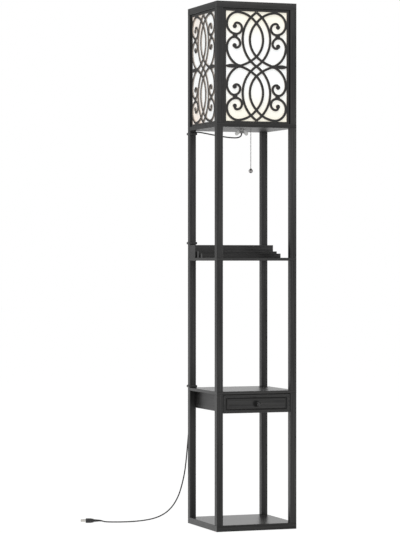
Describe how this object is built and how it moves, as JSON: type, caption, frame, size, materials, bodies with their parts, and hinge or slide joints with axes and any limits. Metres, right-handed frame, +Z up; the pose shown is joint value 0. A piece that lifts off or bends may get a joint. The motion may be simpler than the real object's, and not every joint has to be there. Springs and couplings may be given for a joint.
{
  "type": "shelf floor lamp",
  "caption": "Square floor lamp of stacked open shelves with a drawer, a slotted organizer, a pull chain switch and a lattice lamp box with scrolls at the top.",
  "frame": {"origin": "centre of the base board's underside, on the floor", "axes": "+Z up, -Y towards the front, where the drawer opens, +X to the right seen from the front"},
  "size_m": [0.5722, 0.4088, 1.6],
  "materials": {
    "dark_wood": "black stained, satin",
    "drawer_wood": "plain, unfinished",
    "shade_paper": "matte, translucent white",
    "zinc_steel": "zinc plated",
    "bulb_metal": "bright",
    "bulb_glass": "frosted",
    "holder_plastic": "moulded, satin",
    "chain_chrome": "polished",
    "strap_plastic": "matte",
    "cord_plastic": "soft, satin",
    "blade_brass": "bright"
  },
  "bodies": {
    "frame": {"base_board": "dark_wood", "drawer_shelf_board": "dark_wood", "middle_shelf_board": "dark_wood", "shade_board": "dark_wood", "lower_post_front_left": "dark_wood", "lower_post_front_right": "dark_wood", "lower_post_back_left": "dark_wood", "lower_post_back_right": "dark_wood", "middle_post_front_left": "dark_wood", "middle_post_front_right": "dark_wood", "middle_post_back_left": "dark_wood", "middle_post_back_right": "dark_wood", "upper_post_front_left": "dark_wood", "upper_post_front_right": "dark_wood", "upper_post_back_left": "dark_wood", "upper_post_back_right": "dark_wood", "lamp_post_front_left": "dark_wood", "lamp_post_front_right": "dark_wood", "lamp_post_back_left": "dark_wood", "lamp_post_back_right": "dark_wood", "top_rail_front": "dark_wood", "top_rail_back": "dark_wood", "top_rail_left": "dark_wood", "top_rail_right": "dark_wood", "lattice_panel_front": "dark_wood", "lattice_panel_back": "dark_wood", "lattice_panel_left": "dark_wood", "lattice_panel_right": "dark_wood", "housing_sides": "dark_wood", "housing_back": "dark_wood", "organizer_block": "dark_wood", "organizer_middle_divider": "dark_wood", "organizer_front_divider": "dark_wood", "shade_sheet_front": "shade_paper", "shade_sheet_back": "shade_paper", "shade_sheet_left": "shade_paper", "shade_sheet_right": "shade_paper", "post_studs": "zinc_steel", "base_screws": "zinc_steel", "nipple": "zinc_steel", "nipple_washer": "zinc_steel", "wing_nut": "zinc_steel", "bulb_cap": "bulb_metal", "bulb_glass": "bulb_glass", "lamp_holder_cap": "holder_plastic", "lamp_holder_shell": "holder_plastic", "cord_bushing": "cord_plastic", "cord_straps": "strap_plastic", "power_cord": "cord_plastic", "plug_body": "cord_plastic", "plug_blades": "blade_brass"},
    "drawer": {"drawer_front": "dark_wood", "drawer_sides": "drawer_wood", "drawer_back": "drawer_wood", "drawer_floor": "drawer_wood", "drawer_knob": "dark_wood", "knob_screw": "zinc_steel"},
    "chain_upper": {"pull_chain_upper": "chain_chrome"},
    "chain_lower": {"pull_chain_lower": "chain_chrome", "chain_ball": "chain_chrome"}
  },
  "joints": [
    {"name": "drawer_slide", "type": "slide", "parent": "frame", "child": "drawer", "axis": [0, -1, 0], "range_m": [0, 0.15]},
    {"name": "chain_pull", "type": "slide", "parent": "frame", "child": "chain_upper", "axis": [0, 0, -1], "range_m": [0, 0.012], "stiffness_N_per_m": 400},
    {"name": "chain_swing", "type": "hinge", "parent": "chain_upper", "child": "chain_lower", "pos_m": [0.0304, 0, 1.2205], "axis": [0, 1, 0], "range_deg": [-25, 25]}
  ]
}
